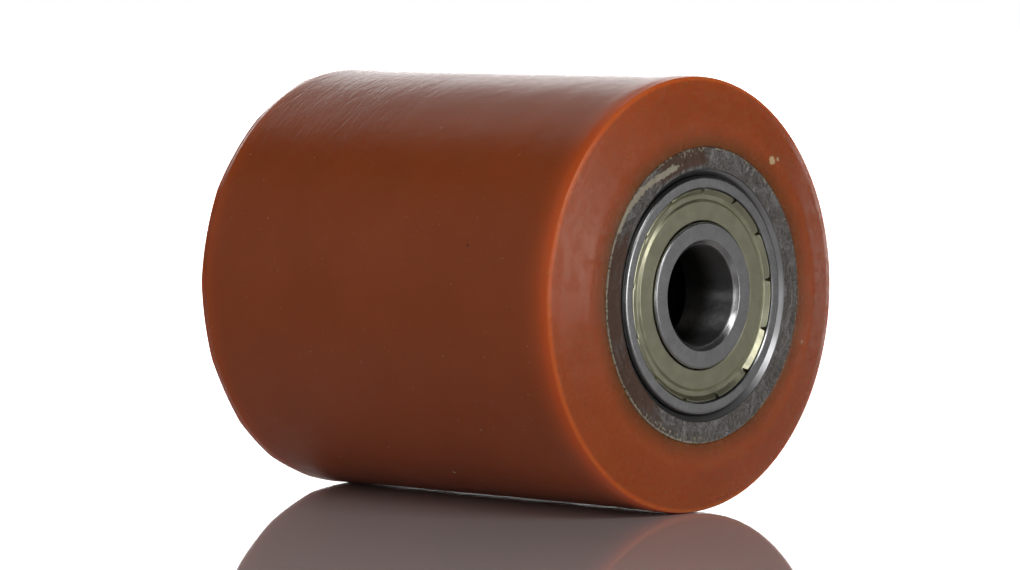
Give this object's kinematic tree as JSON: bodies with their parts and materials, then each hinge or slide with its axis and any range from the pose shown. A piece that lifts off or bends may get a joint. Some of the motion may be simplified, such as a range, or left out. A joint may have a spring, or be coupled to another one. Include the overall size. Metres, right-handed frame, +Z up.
{
  "type": "load roller",
  "caption": "Cylindrical load roller with a polyurethane tread bonded to a steel hub tube, turning on shielded deep-groove ball bearings pressed into its ends.",
  "frame": {"origin": "middle of the roller, on its axis", "axes": "+Y along the roller's axis towards its rear end, +Z up, +X to the right"},
  "size_m": [0.086, 0.1, 0.086],
  "materials": {
    "tread_urethane": "glossy translucent red-brown polyurethane, turned smooth, with trimmed rims",
    "hub_steel": "sawn and faced mild steel, dull, with light rust and traces of dried bonding agent",
    "ring_steel": "ground bearing steel with a bright chamfer",
    "shield_steel": "pressed sheet steel with a satin yellowish plating",
    "ball_steel": "polished bearing steel",
    "cage_steel": "pressed and riveted sheet steel"
  },
  "bodies": {
    "axle_side": {"front_inner_ring": "ring_steel", "rear_inner_ring": "ring_steel"},
    "roller": {"tread": "tread_urethane", "hub_tube": "hub_steel", "front_outer_ring": "ring_steel", "front_outside_shield": "shield_steel", "front_inside_shield": "shield_steel", "rear_outer_ring": "ring_steel", "rear_outside_shield": "shield_steel", "rear_inside_shield": "shield_steel"},
    "front_cage": {"front_cage_half_outside": "cage_steel", "front_cage_half_inside": "cage_steel", "front_cage_rivet_1": "cage_steel", "front_cage_rivet_2": "cage_steel", "front_cage_rivet_3": "cage_steel", "front_cage_rivet_4": "cage_steel", "front_cage_rivet_5": "cage_steel", "front_cage_rivet_6": "cage_steel", "front_cage_rivet_7": "cage_steel", "front_cage_rivet_8": "cage_steel"},
    "front_ball_1": {"front_ball_1": "ball_steel"},
    "front_ball_2": {"front_ball_2": "ball_steel"},
    "front_ball_3": {"front_ball_3": "ball_steel"},
    "front_ball_4": {"front_ball_4": "ball_steel"},
    "front_ball_5": {"front_ball_5": "ball_steel"},
    "front_ball_6": {"front_ball_6": "ball_steel"},
    "front_ball_7": {"front_ball_7": "ball_steel"},
    "front_ball_8": {"front_ball_8": "ball_steel"},
    "rear_cage": {"rear_cage_half_outside": "cage_steel", "rear_cage_half_inside": "cage_steel", "rear_cage_rivet_1": "cage_steel", "rear_cage_rivet_2": "cage_steel", "rear_cage_rivet_3": "cage_steel", "rear_cage_rivet_4": "cage_steel", "rear_cage_rivet_5": "cage_steel", "rear_cage_rivet_6": "cage_steel", "rear_cage_rivet_7": "cage_steel", "rear_cage_rivet_8": "cage_steel"},
    "rear_ball_1": {"rear_ball_1": "ball_steel"},
    "rear_ball_2": {"rear_ball_2": "ball_steel"},
    "rear_ball_3": {"rear_ball_3": "ball_steel"},
    "rear_ball_4": {"rear_ball_4": "ball_steel"},
    "rear_ball_5": {"rear_ball_5": "ball_steel"},
    "rear_ball_6": {"rear_ball_6": "ball_steel"},
    "rear_ball_7": {"rear_ball_7": "ball_steel"},
    "rear_ball_8": {"rear_ball_8": "ball_steel"}
  },
  "joints": [
    {"name": "roller_spin", "type": "hinge", "parent": "axle_side", "child": "roller", "pos_m": [0, 0, 0], "axis": [0, 1, 0], "continuous": true},
    {"name": "front_cage_spin", "type": "hinge", "parent": "axle_side", "child": "front_cage", "pos_m": [0, -0.0429, 0], "axis": [0, 1, 0], "continuous": true},
    {"name": "front_ball_1_spin", "type": "hinge", "parent": "front_cage", "child": "front_ball_1", "pos_m": [0, -0.0429, -0.01675], "axis": [0, 1, 0], "continuous": true},
    {"name": "front_ball_2_spin", "type": "hinge", "parent": "front_cage", "child": "front_ball_2", "pos_m": [0.01184, -0.0429, -0.01184], "axis": [0, 1, 0], "continuous": true},
    {"name": "front_ball_3_spin", "type": "hinge", "parent": "front_cage", "child": "front_ball_3", "pos_m": [0.01675, -0.0429, 0], "axis": [0, 1, 0], "continuous": true},
    {"name": "front_ball_4_spin", "type": "hinge", "parent": "front_cage", "child": "front_ball_4", "pos_m": [0.01184, -0.0429, 0.01184], "axis": [0, 1, 0], "continuous": true},
    {"name": "front_ball_5_spin", "type": "hinge", "parent": "front_cage", "child": "front_ball_5", "pos_m": [0, -0.0429, 0.01675], "axis": [0, 1, 0], "continuous": true},
    {"name": "front_ball_6_spin", "type": "hinge", "parent": "front_cage", "child": "front_ball_6", "pos_m": [-0.01184, -0.0429, 0.01184], "axis": [0, 1, 0], "continuous": true},
    {"name": "front_ball_7_spin", "type": "hinge", "parent": "front_cage", "child": "front_ball_7", "pos_m": [-0.01675, -0.0429, 0], "axis": [0, 1, 0], "continuous": true},
    {"name": "front_ball_8_spin", "type": "hinge", "parent": "front_cage", "child": "front_ball_8", "pos_m": [-0.01184, -0.0429, -0.01184], "axis": [0, 1, 0], "continuous": true},
    {"name": "rear_cage_spin", "type": "hinge", "parent": "axle_side", "child": "rear_cage", "pos_m": [0, 0.0429, 0], "axis": [0, 1, 0], "continuous": true},
    {"name": "rear_ball_1_spin", "type": "hinge", "parent": "rear_cage", "child": "rear_ball_1", "pos_m": [0, 0.0429, 0.01675], "axis": [0, 1, 0], "continuous": true},
    {"name": "rear_ball_2_spin", "type": "hinge", "parent": "rear_cage", "child": "rear_ball_2", "pos_m": [0.01184, 0.0429, 0.01184], "axis": [0, 1, 0], "continuous": true},
    {"name": "rear_ball_3_spin", "type": "hinge", "parent": "rear_cage", "child": "rear_ball_3", "pos_m": [0.01675, 0.0429, 0], "axis": [0, 1, 0], "continuous": true},
    {"name": "rear_ball_4_spin", "type": "hinge", "parent": "rear_cage", "child": "rear_ball_4", "pos_m": [0.01184, 0.0429, -0.01184], "axis": [0, 1, 0], "continuous": true},
    {"name": "rear_ball_5_spin", "type": "hinge", "parent": "rear_cage", "child": "rear_ball_5", "pos_m": [0, 0.0429, -0.01675], "axis": [0, 1, 0], "continuous": true},
    {"name": "rear_ball_6_spin", "type": "hinge", "parent": "rear_cage", "child": "rear_ball_6", "pos_m": [-0.01184, 0.0429, -0.01184], "axis": [0, 1, 0], "continuous": true},
    {"name": "rear_ball_7_spin", "type": "hinge", "parent": "rear_cage", "child": "rear_ball_7", "pos_m": [-0.01675, 0.0429, 0], "axis": [0, 1, 0], "continuous": true},
    {"name": "rear_ball_8_spin", "type": "hinge", "parent": "rear_cage", "child": "rear_ball_8", "pos_m": [-0.01184, 0.0429, 0.01184], "axis": [0, 1, 0], "continuous": true}
  ],
  "couplings": [
    {"joint": "front_cage_spin", "follows": "roller_spin", "ratio": 0.61848},
    {"joint": "front_ball_1_spin", "follows": "roller_spin", "ratio": 1.9916},
    {"joint": "front_ball_2_spin", "follows": "roller_spin", "ratio": 1.9916},
    {"joint": "front_ball_3_spin", "follows": "roller_spin", "ratio": 1.9916},
    {"joint": "front_ball_4_spin", "follows": "roller_spin", "ratio": 1.9916},
    {"joint": "front_ball_5_spin", "follows": "roller_spin", "ratio": 1.9916},
    {"joint": "front_ball_6_spin", "follows": "roller_spin", "ratio": 1.9916},
    {"joint": "front_ball_7_spin", "follows": "roller_spin", "ratio": 1.9916},
    {"joint": "front_ball_8_spin", "follows": "roller_spin", "ratio": 1.9916},
    {"joint": "rear_cage_spin", "follows": "roller_spin", "ratio": 0.61848},
    {"joint": "rear_ball_1_spin", "follows": "roller_spin", "ratio": 1.9916},
    {"joint": "rear_ball_2_spin", "follows": "roller_spin", "ratio": 1.9916},
    {"joint": "rear_ball_3_spin", "follows": "roller_spin", "ratio": 1.9916},
    {"joint": "rear_ball_4_spin", "follows": "roller_spin", "ratio": 1.9916},
    {"joint": "rear_ball_5_spin", "follows": "roller_spin", "ratio": 1.9916},
    {"joint": "rear_ball_6_spin", "follows": "roller_spin", "ratio": 1.9916},
    {"joint": "rear_ball_7_spin", "follows": "roller_spin", "ratio": 1.9916},
    {"joint": "rear_ball_8_spin", "follows": "roller_spin", "ratio": 1.9916}
  ]
}
